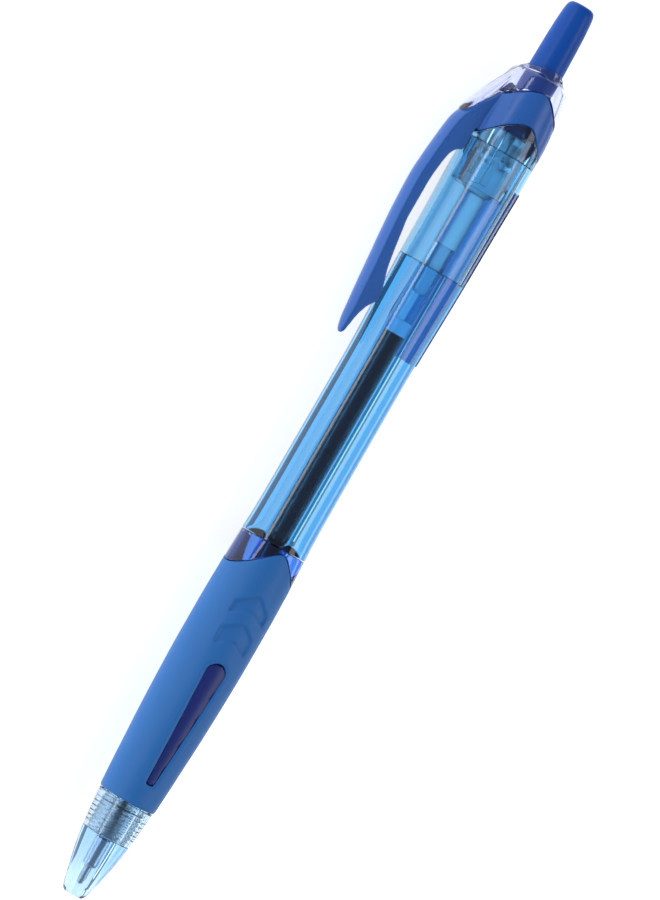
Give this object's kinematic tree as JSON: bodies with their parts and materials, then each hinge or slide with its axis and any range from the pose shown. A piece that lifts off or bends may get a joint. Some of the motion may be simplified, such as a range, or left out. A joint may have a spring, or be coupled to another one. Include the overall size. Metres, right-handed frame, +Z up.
{
  "type": "retractable gel pen",
  "caption": "Click gel pen lying on its clip: tinted clear barrel, soft grip, sprung clip, clear crown and screw-off nose cone, with push button, cam mechanism and refill inside.",
  "frame": {"origin": "bottom centre of the pen's box, where the pen lies on a table on its clip and its clip ring", "axes": "+X along the pen towards the writing tip, -Y the side that the clip is on, +Z up"},
  "size_m": [0.1422, 0.015, 0.0108],
  "materials": {
    "clear_plastic": "polished moulded polycarbonate, near clear with a cool blue cast",
    "deep_tinted_plastic": "polished moulded styrene-acrylonitrile, deep blue tint",
    "tinted_plastic": "polished moulded polycarbonate, sky blue tint",
    "blue_plastic": "gloss moulded acetal, royal blue",
    "button_plastic": "gloss moulded ABS, royal blue",
    "grip_rubber": "satin moulded thermoplastic rubber, mid blue",
    "natural_plastic": "natural acetal, milky",
    "refill_plastic": "extruded polypropylene tube, cloudy clear",
    "gel_ink": "blue-black water gel, wet",
    "follower_grease": "clear polybutene grease",
    "label_film": "thin polypropylene film, blank",
    "tip_steel": "turned stainless steel",
    "ball_carbide": "lapped tungsten carbide",
    "spring_steel": "drawn stainless spring wire"
  },
  "bodies": {
    "body": {"front_barrel": "deep_tinted_plastic", "grip": "grip_rubber", "barrel": "tinted_plastic", "cam_housing": "tinted_plastic", "clip_ring": "blue_plastic", "crown": "clear_plastic", "label": "label_film"},
    "clip": {"clip_arm": "blue_plastic"},
    "button": {"push_button": "button_plastic", "cam_plunger": "natural_plastic"},
    "refill": {"refill_tube": "refill_plastic", "ink": "gel_ink", "ink_follower": "follower_grease", "tip_holder": "natural_plastic", "writing_tip": "tip_steel", "ball_spring": "spring_steel"},
    "rotor": {"cam_rotor": "natural_plastic"},
    "ball": {"tip_ball": "ball_carbide"},
    "spring": {"return_spring": "spring_steel"},
    "nose": {"nose_cone": "clear_plastic"}
  },
  "joints": [
    {"name": "button_press", "type": "slide", "parent": "body", "child": "button", "axis": [1, 0, 0], "range_m": [0, 0.006], "stiffness_N_per_m": 250, "springref_m": -0.004},
    {"name": "refill_feed", "type": "slide", "parent": "body", "child": "refill", "axis": [1, 0, 0], "range_m": [0, 0.006], "deforming": ["return_spring"]},
    {"name": "rotor_turn", "type": "hinge", "parent": "refill", "child": "rotor", "pos_m": [-0.0436, 0.00193, 0.00543], "axis": [-1, 0, 0], "range_deg": [0, 45]},
    {"name": "tip_ball_roll", "type": "hinge", "parent": "refill", "child": "ball", "pos_m": [0.06906, 0.00193, 0.00543], "axis": [0, 1, 0], "continuous": true},
    {"name": "clip_flex", "type": "hinge", "parent": "body", "child": "clip", "pos_m": [-0.04835, -0.00631, 0.00185], "axis": [0, 0.3987, -0.9171], "range_deg": [0, 5], "stiffness_Nm_per_rad": 1.6, "springref_deg": -1.72},
    {"name": "nose_advance", "type": "slide", "parent": "body", "child": "spring", "axis": [1, 0, 0], "range_m": [0, 0.0054]},
    {"name": "nose_turn", "type": "hinge", "parent": "spring", "child": "nose", "pos_m": [0.0636, 0.00193, 0.00543], "axis": [1, 0, 0], "range_deg": [0, 2700]}
  ],
  "couplings": [
    {"joint": "refill_feed", "follows": "button_press", "ratio": 1},
    {"joint": "rotor_turn", "follows": "button_press", "rad_per_m": 130.8},
    {"joint": "nose_advance", "follows": "nose_turn", "m_per_rad": 0.00011459}
  ]
}
